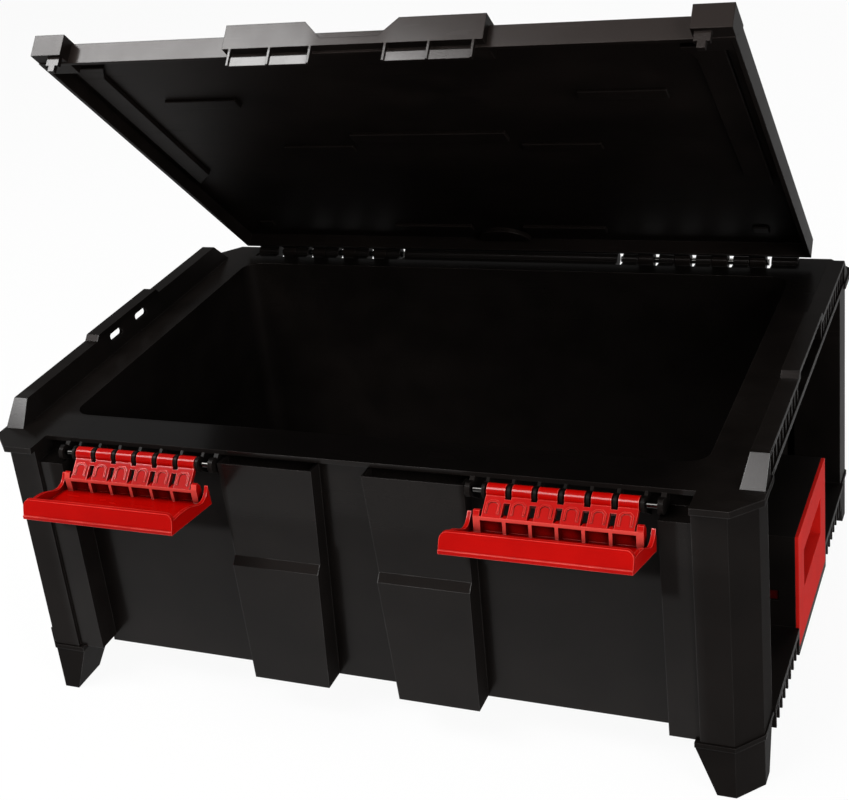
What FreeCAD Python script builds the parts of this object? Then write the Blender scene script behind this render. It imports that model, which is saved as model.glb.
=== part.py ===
# Stackable storage box with a hinged lid, two flip-over latches, corner feet and side handles.
# Millimetres, +Z up, -Y to the front. Pieces are drawn with the case centred on X and Y and its feet
# on Z = 0, as they rest: lid part open, latches hanging open. Last, all of them move along Y until the
# whole resting box is centred on the origin.
import FreeCAD
import Part
import math
import os

from FreeCAD import Vector

# Case: rim, walls and cavity
RIM_TOP = 212.0
RIM_THICK = 3.5
RIM_OUT = 5.0
PANEL_REACH = 172.0
CASE_BOTTOM = 33.8
WALL = 3.0
FLOOR_THICK = 4.2
CAVITY_HALF_WIDTH = 232.0
CAVITY_FRONT_BACK = 30.5
CAVITY_REAR_BACK = 12.0
CAVITY_DRAFT = 5.0
CAVITY_CORNER = 14.0
GAP_RIB_PITCH = 60.0
GAP_RIB_THICK = 2.5

# Side rails with a raised middle, open outwards in ribbed cells
RAIL_OUT = 40.0
RAIL_HEIGHT = 16.7
RAIL_FLAT = 11.5
RAIL_SLOPE = 3.4
RAIL_HALF_LENGTH = 154.0
RAIL_CREST = 4.0
CREST_HALF_LENGTH = 47.0
RAIL_RIB_PITCH = 11.0
RAIL_RIB_THICK = 1.8
RAIL_RIB_SET_BACK = 1.0
RAIL_SLOT_SPACING = 40.5
RAIL_SLOT_LENGTH = 21.5
RAIL_SLOT_HEIGHT = 8.6
RAIL_SLOT_RAISE = 11.6
RAIL_SLOT_FORWARD = 4.0

# Corner posts and the flange over each one
POST_INNER_BACK = 19.0
POST_STEP_OUT = 1.0
POST_STEP_DEPTH = 2.5
POST_FRONT_OUT = 22.5
POST_FACE_OUT = 22.4
POST_SIDE_OUT = 37.3
POST_CHAMFER_OUT = 4.3
POST_CHAMFER_ANGLE = 20.0
POST_REAR_BACK = 22.0
POST_STEP_TOP = 198.0
FLANGE_OVERHANG = 4.0
FLANGE_THICK = 4.5

# Corner feet
FOOT_COLLAR = 3.6
FOOT_RISE = 5.8
FOOT_COLLAR_PROUD = 1.0
FOOT_TOE_OUT = 10.3
FOOT_TOE_BACK = 9.0
FOOT_TOP_BACK = 2.6
SPIGOT_HEIGHT = 14.0
SPIGOT_CLEARANCE = 0.2

# Lower side rail, open outwards in ribbed cells, and handle housing
SKIRT_OUT = 39.6
SKIRT_TOP = 42.0
SKIRT_BOTTOM = 21.0
SKIRT_THICK = 4.4
SKIRT_DEPTH = 11.0
HANDLE_HALF_WIDTH = 57.5
HANDLE_BOTTOM = 27.0
HANDLE_HEIGHT = 87.0
HANDLE_THICK = 2.4
GRIP_HALF_WIDTH = 37.0
GRIP_HEIGHT = 30.0
GRIP_RAISE = 35.5
GRIP_SLEEVE = 3.0
GRIP_DEPTH = 22.0
HANDLE_LUG = 8.0
HANDLE_LUG_PROUD = 2.0
FIT_CLEARANCE = 0.3

# Front pilasters, two steps deep, with an open pocket on top for the lid's tabs
PILASTER_INNER_TOP = 18.0
PILASTER_INNER_BOTTOM = 26.6
PILASTER_OUTER_BACK = 2.6
PILASTER_TAPER = 4.0
PILASTER_LOW_OUT = 18.3
PILASTER_HIGH_OUT = 13.0
PILASTER_STEP = 128.0
PILASTER_TOP = 206.0
PILASTER_POCKET_DEPTH = 14.0
PILASTER_POCKET_WALL = 2.0

# Latches: six knuckles on a pin held in a comb of ribs under the front rim
LATCH_PIN_OUT = 12.5
LATCH_PIN_Z = 204.0
LATCH_PIN_RADIUS = 2.0
LATCH_PIN_FIT = 0.06
KNUCKLE_COUNT = 6
KNUCKLE_RADIUS = 5.0
KNUCKLE_WIDTH = 12.4
KNUCKLE_PITCH = 16.72
LATCH_CENTRE_BACK = 90.2
COMB_RIB_THICK = 2.0
COMB_BOSS_RADIUS = 5.4
COMB_END_THICK = 3.2
COMB_END_BAY = 9.0
COMB_ARM_DROP = 16.2
COMB_ARM_RISE = 5.0
COMB_NECK_REACH = 4.0
COMB_NECK_RISE = 2.5
LATCH_HALF_WIDTH = 59.3
LATCH_WALL = 2.6
LATCH_LEFT_DROP = 4.56
LATCH_RIGHT_RAISE = 4.56
LATCH_PLATE_WIDTH = 12.6
LATCH_PLATE_THICK = 3.2
LATCH_PLATE_START_Y = -5.2
LATCH_PLATE_START_Z = -1.4
LATCH_LEDGE_Y = -16.9
LATCH_LEDGE_Z = -10.6
LATCH_CAP_DEPTH = 2.0
LATCH_CAP_THICK = 2.5
LATCH_CELL_DEPTH = 4.0
LATCH_SPINE_TOP = -11.2
LATCH_HEEL_Y = -10.0
LATCH_HEEL_Z = -25.5
LATCH_TOE_Y = -65.2
LATCH_TOE_Z = -14.0
LATCH_LIP_TOP_Y = -60.1
LATCH_LIP_TOP_Z = -0.9
LATCH_LIP_CORNER = 5.0
LATCH_CELL_HALF_WIDTH = 53.6
LATCH_END_POST = 4.2
LATCH_END_POST_TOP = -7.2
LATCH_END_POST_FRONT = -15.2
LATCH_NOTCH_Y = -20.2
LATCH_NOTCH_Z = -17.2
LATCH_CREST_Y = -36.0
LATCH_CREST_Z = -10.6
LATCH_SHOULDER_Y = -47.7
LATCH_SHOULDER_Z = -7.2
LATCH_RIB_THICK = 2.2
LATCH_WEB = 2.6
LATCH_WEB_START = 1.5
LATCH_PLATE_TAIL = 2.2
EMBOSS_WIDTH = 9.2
EMBOSS_LENGTH = 9.4
EMBOSS_PROUD = 0.9
EMBOSS_BORDER = 1.4

# Lid and rear hinge
HINGE_OUT = 19.2
HINGE_Z = 211.0
HINGE_PIN_RADIUS = 2.5
HINGE_PIN_FIT = 0.06
HINGE_BOSS_RADIUS = 5.6
HINGE_LENGTH = 116.4
HINGE_END_BACK = 32.1
HINGE_DIVISIONS = 4
HINGE_WINDOW = 4.5
HINGE_SIDE_GAP = 0.5
HINGE_ARM_DROP = 22.4
HINGE_BORE_OVERRUN = 1.0
LID_OPEN = 42.57
LID_OUT = 11.5
LID_FRONT_OUT = 1.4
LID_BACK = 9.0
LID_UNDER = 1.3
LID_TOP = 16.3
LID_PANEL_THICK = 3.0
LID_SINK = 1.3
LID_WALL = 3.0
LID_BLOCK_WIDTH = 24.5
LID_BLOCK_OUT = 11.4
LID_BLOCK_DEPTH = 28.0
LID_BLOCK_UNDER = 2.0
LID_BLOCK_TOP = 17.9
LID_LUG_BACK = 22.5
LID_LUG_WIDTH = 10.0
LID_LUG_TIP = -8.8
LID_LUG_THICK = 3.8
HUMP_GAP = 2.4
HUMP_INNER_TOP = 33.0
HUMP_INNER = 20.4
HUMP_OUT = 7.7
HUMP_DEPTH = 27.3
HUMP_UNDER = 3.1
HUMP_TOP = 20.8
BRIDGE_TOP = 8.5
TAB_OUT = 4.4
TAB_THICK = 2.0
TAB_TIP = -9.0
TAB_FIN_WIDTH = 1.6
TAB_FIN_INSET = 5.2
TAB_FIN_COUNT = 3
TAB_HOOK_HEIGHT = 6.4


def box(x0, x1, y0, y1, z0, z1):
    """Block between two corners."""
    return Part.makeBox(x1 - x0, y1 - y0, z1 - z0, Vector(x0, y0, z0))


def prism_x(outline, x0, x1):
    """Outline of (y, z) points carried from x0 to x1."""
    points = [Vector(x0, y, z) for y, z in outline]
    face = Part.Face(Part.makePolygon(points + points[:1]))
    return face.extrude(Vector(x1 - x0, 0, 0))


def prism_y(outline, y0, y1):
    """Outline of (x, z) points carried from y0 to y1."""
    points = [Vector(x, y0, z) for x, z in outline]
    face = Part.Face(Part.makePolygon(points + points[:1]))
    return face.extrude(Vector(0, y1 - y0, 0))


def prism_z(outline, z0, z1):
    """Outline of (x, y) points carried from z0 to z1."""
    points = [Vector(x, y, z0) for x, y in outline]
    face = Part.Face(Part.makePolygon(points + points[:1]))
    return face.extrude(Vector(0, 0, z1 - z0))


def rod_x(radius, x0, x1, y, z):
    """Round bar along X."""
    return Part.makeCylinder(radius, x1 - x0, Vector(x0, y, z), Vector(1, 0, 0))


def slot_x(x0, x1, y, z, length, height):
    """Round-ended hole along X."""
    radius = height / 2
    reach = length / 2 - radius
    ends = [rod_x(radius, x0, x1, y + side * reach, z) for side in (-1, 1)]
    return join([box(x0, x1, y - reach, y + reach, z - radius, z + radius)] + ends)


def drafted_block(half_width, front, rear, corner, z0, z1):
    """Upright block whose four walls lean in towards the bottom, with rounded upright corners."""
    low = half_width - CAVITY_DRAFT
    across = prism_y([(-low, z0), (low, z0), (half_width, z1), (-half_width, z1)], -front, rear)
    along = prism_x([(CAVITY_DRAFT - front, z0), (rear - CAVITY_DRAFT, z0), (rear, z1), (-front, z1)],
                    -half_width, half_width)
    block = across.common(along)
    upright = [edge for edge in block.Edges if abs(edge.tangentAt(edge.FirstParameter).z) > 0.9]
    return block.makeFillet(corner, upright)


def flip_x(shape):
    """The same shape on the other side of the case."""
    return shape.mirror(Vector(0, 0, 0), Vector(1, 0, 0))


def flip_y(shape):
    """The same shape at the other end of the case."""
    return shape.mirror(Vector(0, 0, 0), Vector(0, 1, 0))


def four_corners(shape):
    """A corner piece and its three mirror images."""
    pair = [shape, flip_x(shape)]
    return pair + [flip_y(item) for item in pair]


def join(shapes):
    """One solid from touching solids."""
    return shapes[0].multiFuse(shapes[1:]).removeSplitter()


def spread(count, pitch):
    """Places of a centred row."""
    return [(index - (count - 1) / 2) * pitch for index in range(count)]


# Heights and reaches that several pieces share
rim_under = RIM_TOP - RIM_THICK
rim_reach = PANEL_REACH + RIM_OUT
cavity_front = PANEL_REACH - CAVITY_FRONT_BACK
cavity_rear = PANEL_REACH - CAVITY_REAR_BACK
post_front = PANEL_REACH + POST_FRONT_OUT
post_chamfer_end = PANEL_REACH + POST_CHAMFER_OUT
post_back = PANEL_REACH - POST_REAR_BACK
foot_toe_y = PANEL_REACH - FOOT_TOE_BACK
pilaster_low_reach = PANEL_REACH + PILASTER_LOW_OUT
pilaster_high_reach = PANEL_REACH + PILASTER_HIGH_OUT
latch_pin_y = -PANEL_REACH - LATCH_PIN_OUT
hinge_y = PANEL_REACH + HINGE_OUT
lid_length = hinge_y + PANEL_REACH + LID_FRONT_OUT
lid_block_reach = lid_length + LID_BLOCK_OUT
lid_block_back = lid_block_reach - LID_BLOCK_DEPTH
hump_reach = lid_length + HUMP_OUT
hump_back = hump_reach - HUMP_DEPTH
tab_start = lid_length + TAB_OUT
rail_top = RIM_TOP + RAIL_HEIGHT
crest_top = rail_top + RAIL_CREST
rail_outer = CAVITY_HALF_WIDTH + RAIL_OUT
rail_inner = rail_outer - RAIL_FLAT - RAIL_SLOPE
post_inner = CAVITY_HALF_WIDTH - POST_INNER_BACK
post_step = CAVITY_HALF_WIDTH + POST_STEP_OUT
post_face = CAVITY_HALF_WIDTH + POST_FACE_OUT
post_side = CAVITY_HALF_WIDTH + POST_SIDE_OUT
foot_toe_x = CAVITY_HALF_WIDTH + FOOT_TOE_OUT
foot_top_x = CAVITY_HALF_WIDTH - FOOT_TOP_BACK
skirt_outer = CAVITY_HALF_WIDTH + SKIRT_OUT
lid_half_width = CAVITY_HALF_WIDTH + LID_OUT
lid_block_inner = lid_half_width - LID_BLOCK_WIDTH
lid_lug_inner = lid_half_width - LID_LUG_BACK
hinge_outer_x = lid_half_width - HINGE_END_BACK
hinge_inner_x = hinge_outer_x - HINGE_LENGTH
latch_centre_x = lid_half_width - LATCH_CENTRE_BACK
hump_outer = latch_centre_x - LATCH_HALF_WIDTH - HUMP_GAP
pilaster_outer_top = hump_outer - PILASTER_OUTER_BACK
pilaster_outer_bottom = pilaster_outer_top - PILASTER_TAPER
bucket_half_width = CAVITY_HALF_WIDTH + WALL
foot_top = CASE_BOTTOM + FOOT_RISE
handle_top = HANDLE_BOTTOM + HANDLE_HEIGHT
housing_outer = skirt_outer - HANDLE_THICK
comb_half_width = KNUCKLE_PITCH * KNUCKLE_COUNT / 2 + COMB_END_BAY
plate_run_y = LATCH_LEDGE_Y - LATCH_PLATE_START_Y
plate_run_z = LATCH_LEDGE_Z - LATCH_PLATE_START_Z
plate_length = math.hypot(plate_run_y, plate_run_z)


def cavity():
    """Inside of the case, drafted towards the floor."""
    return drafted_block(CAVITY_HALF_WIDTH, cavity_front, cavity_rear, CAVITY_CORNER,
                         CASE_BOTTOM + FLOOR_THICK, RIM_TOP)


def bucket():
    """Outer form of the inner tub, one wall outside the cavity."""
    return drafted_block(bucket_half_width, cavity_front + WALL, cavity_rear + WALL, CAVITY_CORNER + WALL,
                         CASE_BOTTOM, RIM_TOP)


def post_outline(inset):
    """Plan of a front right post, drawn in by inset on every side."""
    slant = inset * math.tan(math.radians(POST_CHAMFER_ANGLE))
    return [(post_inner + inset, -PANEL_REACH + WALL - inset),
            (post_inner + inset, -post_front + POST_STEP_DEPTH + inset),
            (post_step + inset, -post_front + POST_STEP_DEPTH + inset),
            (post_step + inset, -post_front + inset),
            (post_face - slant, -post_front + inset),
            (post_side - inset, -post_chamfer_end + slant),
            (post_side - inset, -post_back - inset),
            (bucket_half_width + inset, -post_back - inset),
            (bucket_half_width + inset, -PANEL_REACH + WALL - inset)]


def post():
    """Hollow corner post, open below for the foot's spigot."""
    shell = prism_z(post_outline(0.0), foot_top, rim_under)
    core = prism_z(post_outline(WALL), foot_top, POST_STEP_TOP - WALL)
    notch = box(post_inner, post_step, -post_front, -PANEL_REACH, POST_STEP_TOP, RIM_TOP)
    return shell.cut(core).cut(notch)


def corner_flange():
    """Platform over a post, where the foot of a box stacked above stands."""
    reach = post_front + FLANGE_OVERHANG
    side = post_side + FLANGE_OVERHANG
    outline = [(post_step, -cavity_front), (post_step, -reach), (post_face + FLANGE_OVERHANG / 2, -reach),
               (side, -post_chamfer_end - FLANGE_OVERHANG), (side, -post_back), (rail_inner, -post_back),
               (rail_inner, -cavity_front)]
    return prism_z(outline, RIM_TOP - FLANGE_THICK, RIM_TOP)


def rail():
    """Right side rail, bevelled at both ends, with outward cells and two through slots."""
    slope_top = rail_inner + RAIL_SLOPE
    section = [(rail_inner, rim_under), (rail_inner, RIM_TOP), (slope_top, rail_top),
               (slope_top, crest_top), (rail_outer, crest_top), (rail_outer, rim_under)]
    ramp = CREST_HALF_LENGTH + RAIL_CREST
    foot = RAIL_HALF_LENGTH + RAIL_HEIGHT
    side_view = [(-foot, rim_under), (-foot, RIM_TOP), (-RAIL_HALF_LENGTH, rail_top), (-ramp, rail_top),
                 (-CREST_HALF_LENGTH, crest_top), (CREST_HALF_LENGTH, crest_top), (ramp, rail_top),
                 (RAIL_HALF_LENGTH, rail_top), (foot, RIM_TOP), (foot, rim_under)]
    solid = prism_y(section, -foot, foot).common(prism_x(side_view, rail_inner, rail_outer))
    cell = [(rail_inner + WALL, RIM_TOP), (slope_top + WALL, rail_top - WALL),
            (rail_outer, rail_top - WALL), (rail_outer, RIM_TOP)]
    rib_section = [(x if x < rail_outer else rail_outer - RAIL_RIB_SET_BACK, z) for x, z in cell]
    solid = solid.cut(prism_y(cell, -RAIL_HALF_LENGTH, RAIL_HALF_LENGTH))
    solid = solid.cut(box(slope_top + WALL, rail_outer, WALL - CREST_HALF_LENGTH, CREST_HALF_LENGTH - WALL,
                          RIM_TOP, crest_top - WALL))
    for place in spread(2, RAIL_SLOT_SPACING):
        solid = solid.cut(slot_x(rail_inner, rail_outer, place - RAIL_SLOT_FORWARD,
                                 RIM_TOP + RAIL_SLOT_RAISE, RAIL_SLOT_LENGTH, RAIL_SLOT_HEIGHT))
    count = int(2 * RAIL_HALF_LENGTH / RAIL_RIB_PITCH)
    ribs = []
    for place in spread(count, RAIL_RIB_PITCH):
        if abs(place) > CREST_HALF_LENGTH:
            ribs.append(prism_y(rib_section, place - RAIL_RIB_THICK / 2, place + RAIL_RIB_THICK / 2))
    return join([solid] + ribs)


def handle_housing():
    """Box standing off the right side wall, open outwards, that carries the handle."""
    shell = box(bucket_half_width - CAVITY_DRAFT, housing_outer, -HANDLE_HALF_WIDTH, HANDLE_HALF_WIDTH,
                HANDLE_BOTTOM, handle_top)
    room = box(bucket_half_width, housing_outer, WALL - HANDLE_HALF_WIDTH, HANDLE_HALF_WIDTH - WALL,
               HANDLE_BOTTOM + WALL, handle_top - WALL)
    middle = HANDLE_BOTTOM + HANDLE_HEIGHT / 2
    window = box(housing_outer - GRIP_DEPTH + HANDLE_LUG / 2, housing_outer - GRIP_DEPTH / 2,
                 -HANDLE_HALF_WIDTH, HANDLE_HALF_WIDTH, middle - HANDLE_LUG, middle)
    return shell.cut(room).cut(window)


def skirt():
    """Lower side rail on the right, with outward cells either side of the handle's seat."""
    shelf = box(bucket_half_width - CAVITY_DRAFT, skirt_outer, -post_back, post_back,
                SKIRT_TOP - SKIRT_THICK, SKIRT_TOP)
    inner = skirt_outer - SKIRT_DEPTH
    wall = box(inner, inner + WALL, -post_back, post_back, SKIRT_BOTTOM, SKIRT_TOP)
    seat = HANDLE_HALF_WIDTH + FIT_CLEARANCE
    sill = box(inner, skirt_outer, -seat - RAIL_RIB_THICK, seat + RAIL_RIB_THICK, SKIRT_BOTTOM, SKIRT_TOP)
    room = box(housing_outer, skirt_outer, -seat, seat, HANDLE_BOTTOM - FIT_CLEARANCE, SKIRT_TOP)
    count = int(2 * post_back / RAIL_RIB_PITCH)
    ribs = []
    for place in spread(count, RAIL_RIB_PITCH):
        if abs(place) > seat + RAIL_RIB_PITCH / 2:
            ribs.append(box(inner, skirt_outer - RAIL_RIB_SET_BACK, place - RAIL_RIB_THICK / 2,
                            place + RAIL_RIB_THICK / 2, SKIRT_BOTTOM, SKIRT_TOP))
    return join([shelf, wall, sill] + ribs).cut(room)


def pilaster():
    """Right front pilaster, deeper in its lower part, with the tab pocket on top."""
    def edge(inner, z):
        share = (z - CASE_BOTTOM) / (PILASTER_TOP - CASE_BOTTOM)
        if inner:
            return PILASTER_INNER_BOTTOM + share * (PILASTER_INNER_TOP - PILASTER_INNER_BOTTOM)
        return pilaster_outer_bottom + share * (pilaster_outer_top - pilaster_outer_bottom)

    def block(z0, z1, reach, inset):
        outline = [(edge(True, z0) + inset, z0), (edge(False, z0) - inset, z0),
                   (edge(False, z1) - inset, z1), (edge(True, z1) + inset, z1)]
        return prism_y(outline, -reach + inset, -PANEL_REACH + inset)

    slope = pilaster_low_reach - pilaster_high_reach
    shoulder = prism_x([(-pilaster_low_reach, PILASTER_STEP), (-pilaster_high_reach, PILASTER_STEP + slope),
                        (-PANEL_REACH, PILASTER_STEP + slope), (-PANEL_REACH, PILASTER_STEP)],
                       edge(True, PILASTER_STEP), edge(False, PILASTER_STEP))
    form = join([block(CASE_BOTTOM, PILASTER_STEP, pilaster_low_reach, 0.0), shoulder,
                 block(PILASTER_STEP, PILASTER_TOP, pilaster_high_reach, 0.0)])
    core_top = PILASTER_TOP - PILASTER_POCKET_DEPTH - WALL
    low_core = block(CASE_BOTTOM, PILASTER_STEP - WALL, pilaster_low_reach, WALL)
    high_core = block(CASE_BOTTOM, core_top, pilaster_high_reach, WALL)
    pocket = box(edge(True, PILASTER_TOP) + PILASTER_POCKET_WALL,
                 edge(False, PILASTER_TOP) - PILASTER_POCKET_WALL,
                 -pilaster_high_reach + PILASTER_POCKET_WALL, -PANEL_REACH,
                 PILASTER_TOP - PILASTER_POCKET_DEPTH, PILASTER_TOP)
    return form.cut(low_core).cut(high_core).cut(pocket)


def comb_outline():
    """Side view of a comb rib's arm, necked so that the latch can fold up over it."""
    back = -PANEL_REACH + WALL
    neck = LATCH_PIN_Z + COMB_NECK_RISE
    top = LATCH_PIN_Z + COMB_ARM_RISE
    return [(latch_pin_y, neck), (latch_pin_y + COMB_NECK_REACH, neck), (-rim_reach, top), (back, top),
            (back, LATCH_PIN_Z - COMB_ARM_DROP), (latch_pin_y, LATCH_PIN_Z - COMB_BOSS_RADIUS)]


def latch_comb():
    """Ribs of the right comb with their pin bores, and a thicker rib at each end."""
    ribs = []
    for place in spread(KNUCKLE_COUNT + 1, KNUCKLE_PITCH):
        x = latch_centre_x + place
        ribs.append((x - COMB_RIB_THICK / 2, x + COMB_RIB_THICK / 2))
    inner_end = latch_centre_x - comb_half_width
    outer_end = latch_centre_x + comb_half_width
    ribs.append((inner_end - COMB_END_THICK, inner_end))
    ribs.append((outer_end, outer_end + COMB_END_THICK))
    solids = []
    for x0, x1 in ribs:
        arm = prism_x(comb_outline(), x0, x1)
        boss = rod_x(COMB_BOSS_RADIUS, x0, x1, latch_pin_y, LATCH_PIN_Z)
        solids.append(arm.fuse(boss))
    return solids


def latch_pin_bore():
    """Room for the right latch pin in the comb, closed at both ends."""
    reach = comb_half_width + COMB_END_THICK / 2
    return rod_x(LATCH_PIN_RADIUS + LATCH_PIN_FIT, latch_centre_x - reach, latch_centre_x + reach,
                 latch_pin_y, LATCH_PIN_Z)


def latch_pin():
    """Steel rod that the right latch turns on."""
    reach = comb_half_width + COMB_END_THICK / 2 - FIT_CLEARANCE
    return rod_x(LATCH_PIN_RADIUS, latch_centre_x - reach, latch_centre_x + reach, latch_pin_y, LATCH_PIN_Z)


def hinge_spans(on_lid):
    """X spans of the right hinge's knuckles: in each division the case's ear, then the lid's knuckle."""
    division = HINGE_LENGTH / HINGE_DIVISIONS
    width = (division - HINGE_WINDOW - HINGE_SIDE_GAP) / 2
    spans = []
    for index in range(HINGE_DIVISIONS):
        start = hinge_inner_x + index * division + HINGE_WINDOW / 2
        if on_lid:
            start += width + HINGE_SIDE_GAP
        spans.append((start, start + width))
    return spans


def hinge_beads():
    """Rolled edge of the rear rim in line with the hinge, from the middle to the right post."""
    spans = [(0.0, hinge_inner_x - HINGE_WINDOW / 2), (hinge_outer_x + HINGE_WINDOW / 2, post_step)]
    solids = []
    for x0, x1 in spans:
        shelf = prism_x([(PANEL_REACH - WALL, rim_under), (PANEL_REACH - WALL, HINGE_Z), (hinge_y, HINGE_Z),
                         (hinge_y, HINGE_Z - HINGE_BOSS_RADIUS)], x0, x1)
        solids.append(shelf.fuse(rod_x(HINGE_BOSS_RADIUS, x0, x1, hinge_y, HINGE_Z)))
    return solids


def hinge_ears():
    """Ears on the rear of the case that hold the right hinge pin."""
    solids = []
    for x0, x1 in hinge_spans(False):
        arm = prism_x([(hinge_y, HINGE_Z - HINGE_BOSS_RADIUS), (hinge_y, HINGE_Z),
                       (PANEL_REACH - WALL, HINGE_Z), (PANEL_REACH - WALL, HINGE_Z - HINGE_ARM_DROP)], x0, x1)
        boss = rod_x(HINGE_BOSS_RADIUS, x0, x1, hinge_y, HINGE_Z)
        solids.append(arm.fuse(boss))
    return solids


def hinge_pin_bore():
    """Room for the right hinge pin through the ears."""
    return rod_x(HINGE_PIN_RADIUS + HINGE_PIN_FIT, hinge_inner_x - HINGE_BORE_OVERRUN,
                 hinge_outer_x + HINGE_BORE_OVERRUN, hinge_y, HINGE_Z)


def hinge_pin():
    """Steel rod through the right hinge."""
    return rod_x(HINGE_PIN_RADIUS, hinge_inner_x, hinge_outer_x, hinge_y, HINGE_Z)


def case_tub():
    """The moulded case: inner tub, rim, front and rear panels, posts, rails, combs and ears."""
    rim = box(-rail_outer, rail_outer, -rim_reach, rim_reach, rim_under, RIM_TOP)
    rim = rim.cut(box(-rail_outer, -post_step, -rim_reach, -post_back, rim_under, RIM_TOP))
    rim = rim.cut(box(post_step, rail_outer, -rim_reach, -post_back, rim_under, RIM_TOP))
    panel = box(-post_inner - WALL, post_inner + WALL, -PANEL_REACH, -PANEL_REACH + WALL, CASE_BOTTOM,
                rim_under)
    rib_count = int(2 * post_inner / GAP_RIB_PITCH)
    gap_ribs = [box(x - GAP_RIB_THICK / 2, x + GAP_RIB_THICK / 2, -PANEL_REACH + WALL,
                    CAVITY_DRAFT - cavity_front, CASE_BOTTOM, rim_under)
                for x in spread(rib_count, GAP_RIB_PITCH)]
    one_side = [rail(), handle_housing(), skirt(), pilaster()] + latch_comb() + hinge_ears() + hinge_beads()
    solids = [bucket(), rim, panel, flip_y(panel)] + gap_ribs + [flip_y(rib) for rib in gap_ribs]
    solids += four_corners(post()) + four_corners(corner_flange())
    solids += one_side + [flip_x(item) for item in one_side]
    body = join(solids)
    bores = [latch_pin_bore(), hinge_pin_bore()]
    for bore in bores + [flip_x(bore) for bore in bores] + [cavity()]:
        body = body.cut(bore)
    return body


def corner_foot():
    """Front right foot: toe tapered on its two inner sides, collar under the post and a spigot."""
    collar_bottom = foot_top - FOOT_COLLAR
    plan = prism_z([(foot_top_x, -post_front), (post_face, -post_front), (post_side, -post_chamfer_end),
                    (post_side, -post_back), (foot_top_x, -post_back)], 0.0, collar_bottom)
    front_view = prism_y([(foot_toe_x, 0.0), (post_side, 0.0), (post_side, collar_bottom),
                          (foot_top_x, collar_bottom)], -post_front, -post_back)
    side_view = prism_x([(-post_front, 0.0), (-foot_toe_y, 0.0), (-post_back, collar_bottom),
                         (-post_front, collar_bottom)], foot_top_x, post_side)
    body = plan.common(front_view).common(side_view)
    proud = FOOT_COLLAR_PROUD
    collar = prism_z([(foot_top_x, -post_front - proud), (post_face + proud / 2, -post_front - proud),
                      (post_side + proud, -post_chamfer_end - proud / 2), (post_side + proud, -post_back),
                      (bucket_half_width, -post_back), (bucket_half_width, -PANEL_REACH + WALL),
                      (foot_top_x, -PANEL_REACH + WALL)], collar_bottom, foot_top)
    inset = WALL + SPIGOT_CLEARANCE
    spigot = box(bucket_half_width + inset, post_face - inset, -post_front + inset, -post_back - inset,
                 foot_top, foot_top + SPIGOT_HEIGHT)
    return join([body, collar, spigot])


def side_handle():
    """Right handle: a plate over the housing's mouth with a deep finger opening and two snap lugs."""
    grip_bottom = HANDLE_BOTTOM + GRIP_RAISE
    grip_top = grip_bottom + GRIP_HEIGHT
    plate = box(housing_outer, skirt_outer, -HANDLE_HALF_WIDTH, HANDLE_HALF_WIDTH, HANDLE_BOTTOM,
                handle_top)
    upright = [edge for edge in plate.Edges if abs(edge.tangentAt(edge.FirstParameter).x) > 0.9]
    plate = plate.makeFillet(HANDLE_THICK / 2, upright)
    deep = housing_outer - GRIP_DEPTH
    sleeve = box(deep, housing_outer, -GRIP_HALF_WIDTH - GRIP_SLEEVE, GRIP_HALF_WIDTH + GRIP_SLEEVE,
                 grip_bottom - GRIP_SLEEVE, grip_top + GRIP_SLEEVE)
    middle = HANDLE_BOTTOM + HANDLE_HEIGHT / 2
    wing_reach = HANDLE_HALF_WIDTH - WALL - FIT_CLEARANCE
    wing = box(deep, housing_outer, -wing_reach, wing_reach, middle - HANDLE_LUG + FIT_CLEARANCE,
               middle - FIT_CLEARANCE)
    lug_reach = wing_reach + HANDLE_LUG_PROUD
    lug = box(deep + HANDLE_LUG / 2 + FIT_CLEARANCE, housing_outer - GRIP_DEPTH / 2 - FIT_CLEARANCE,
              -lug_reach, lug_reach, middle - HANDLE_LUG + FIT_CLEARANCE, middle - FIT_CLEARANCE)
    opening = box(deep, skirt_outer, -GRIP_HALF_WIDTH, GRIP_HALF_WIDTH, grip_bottom, grip_top)
    return join([plate, sleeve, wing, lug]).cut(opening)


def along_plate(distance, lift):
    """Point of the latch plates' side view: a distance down the plate, lifted off its face."""
    share = distance / plate_length
    y = LATCH_PLATE_START_Y + share * plate_run_y + lift * plate_run_z / plate_length
    z = LATCH_PLATE_START_Z + share * plate_run_z - lift * plate_run_y / plate_length
    return (y, z)


def latch_floor_height(y, lift):
    """Height of the tray's outer face, plus lift, at a distance from the pin."""
    share = (y - LATCH_HEEL_Y) / (LATCH_TOE_Y - LATCH_HEEL_Y)
    return LATCH_HEEL_Z + share * (LATCH_TOE_Z - LATCH_HEEL_Z) + lift


def latch_side_wall(x0, x1):
    """End wall of the tray, notched in its upper edge where the lid's lip goes when shut."""
    lip_share = LATCH_LIP_CORNER / (LATCH_LIP_TOP_Z - LATCH_TOE_Z)
    lip_y = LATCH_LIP_TOP_Y + lip_share * (LATCH_TOE_Y - LATCH_LIP_TOP_Y)
    outline = [(LATCH_HEEL_Y, LATCH_LEDGE_Z), (LATCH_NOTCH_Y, LATCH_NOTCH_Z),
               (LATCH_CREST_Y, LATCH_CREST_Z), (LATCH_SHOULDER_Y, LATCH_SHOULDER_Z),
               (lip_y, LATCH_LIP_TOP_Z - LATCH_LIP_CORNER)]
    crest = [Vector(x0, y, z) for y, z in outline]
    curve = Part.BSplineCurve()
    curve.interpolate(crest)
    toe = Vector(x0, LATCH_TOE_Y, LATCH_TOE_Z)
    heel = Vector(x0, LATCH_HEEL_Y, LATCH_HEEL_Z)
    edges = [curve.toShape(), Part.LineSegment(crest[-1], toe).toShape(),
             Part.LineSegment(toe, heel).toShape(), Part.LineSegment(heel, crest[0]).toShape()]
    return Part.Face(Part.Wire(edges)).extrude(Vector(x1 - x0, 0, 0))


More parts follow.
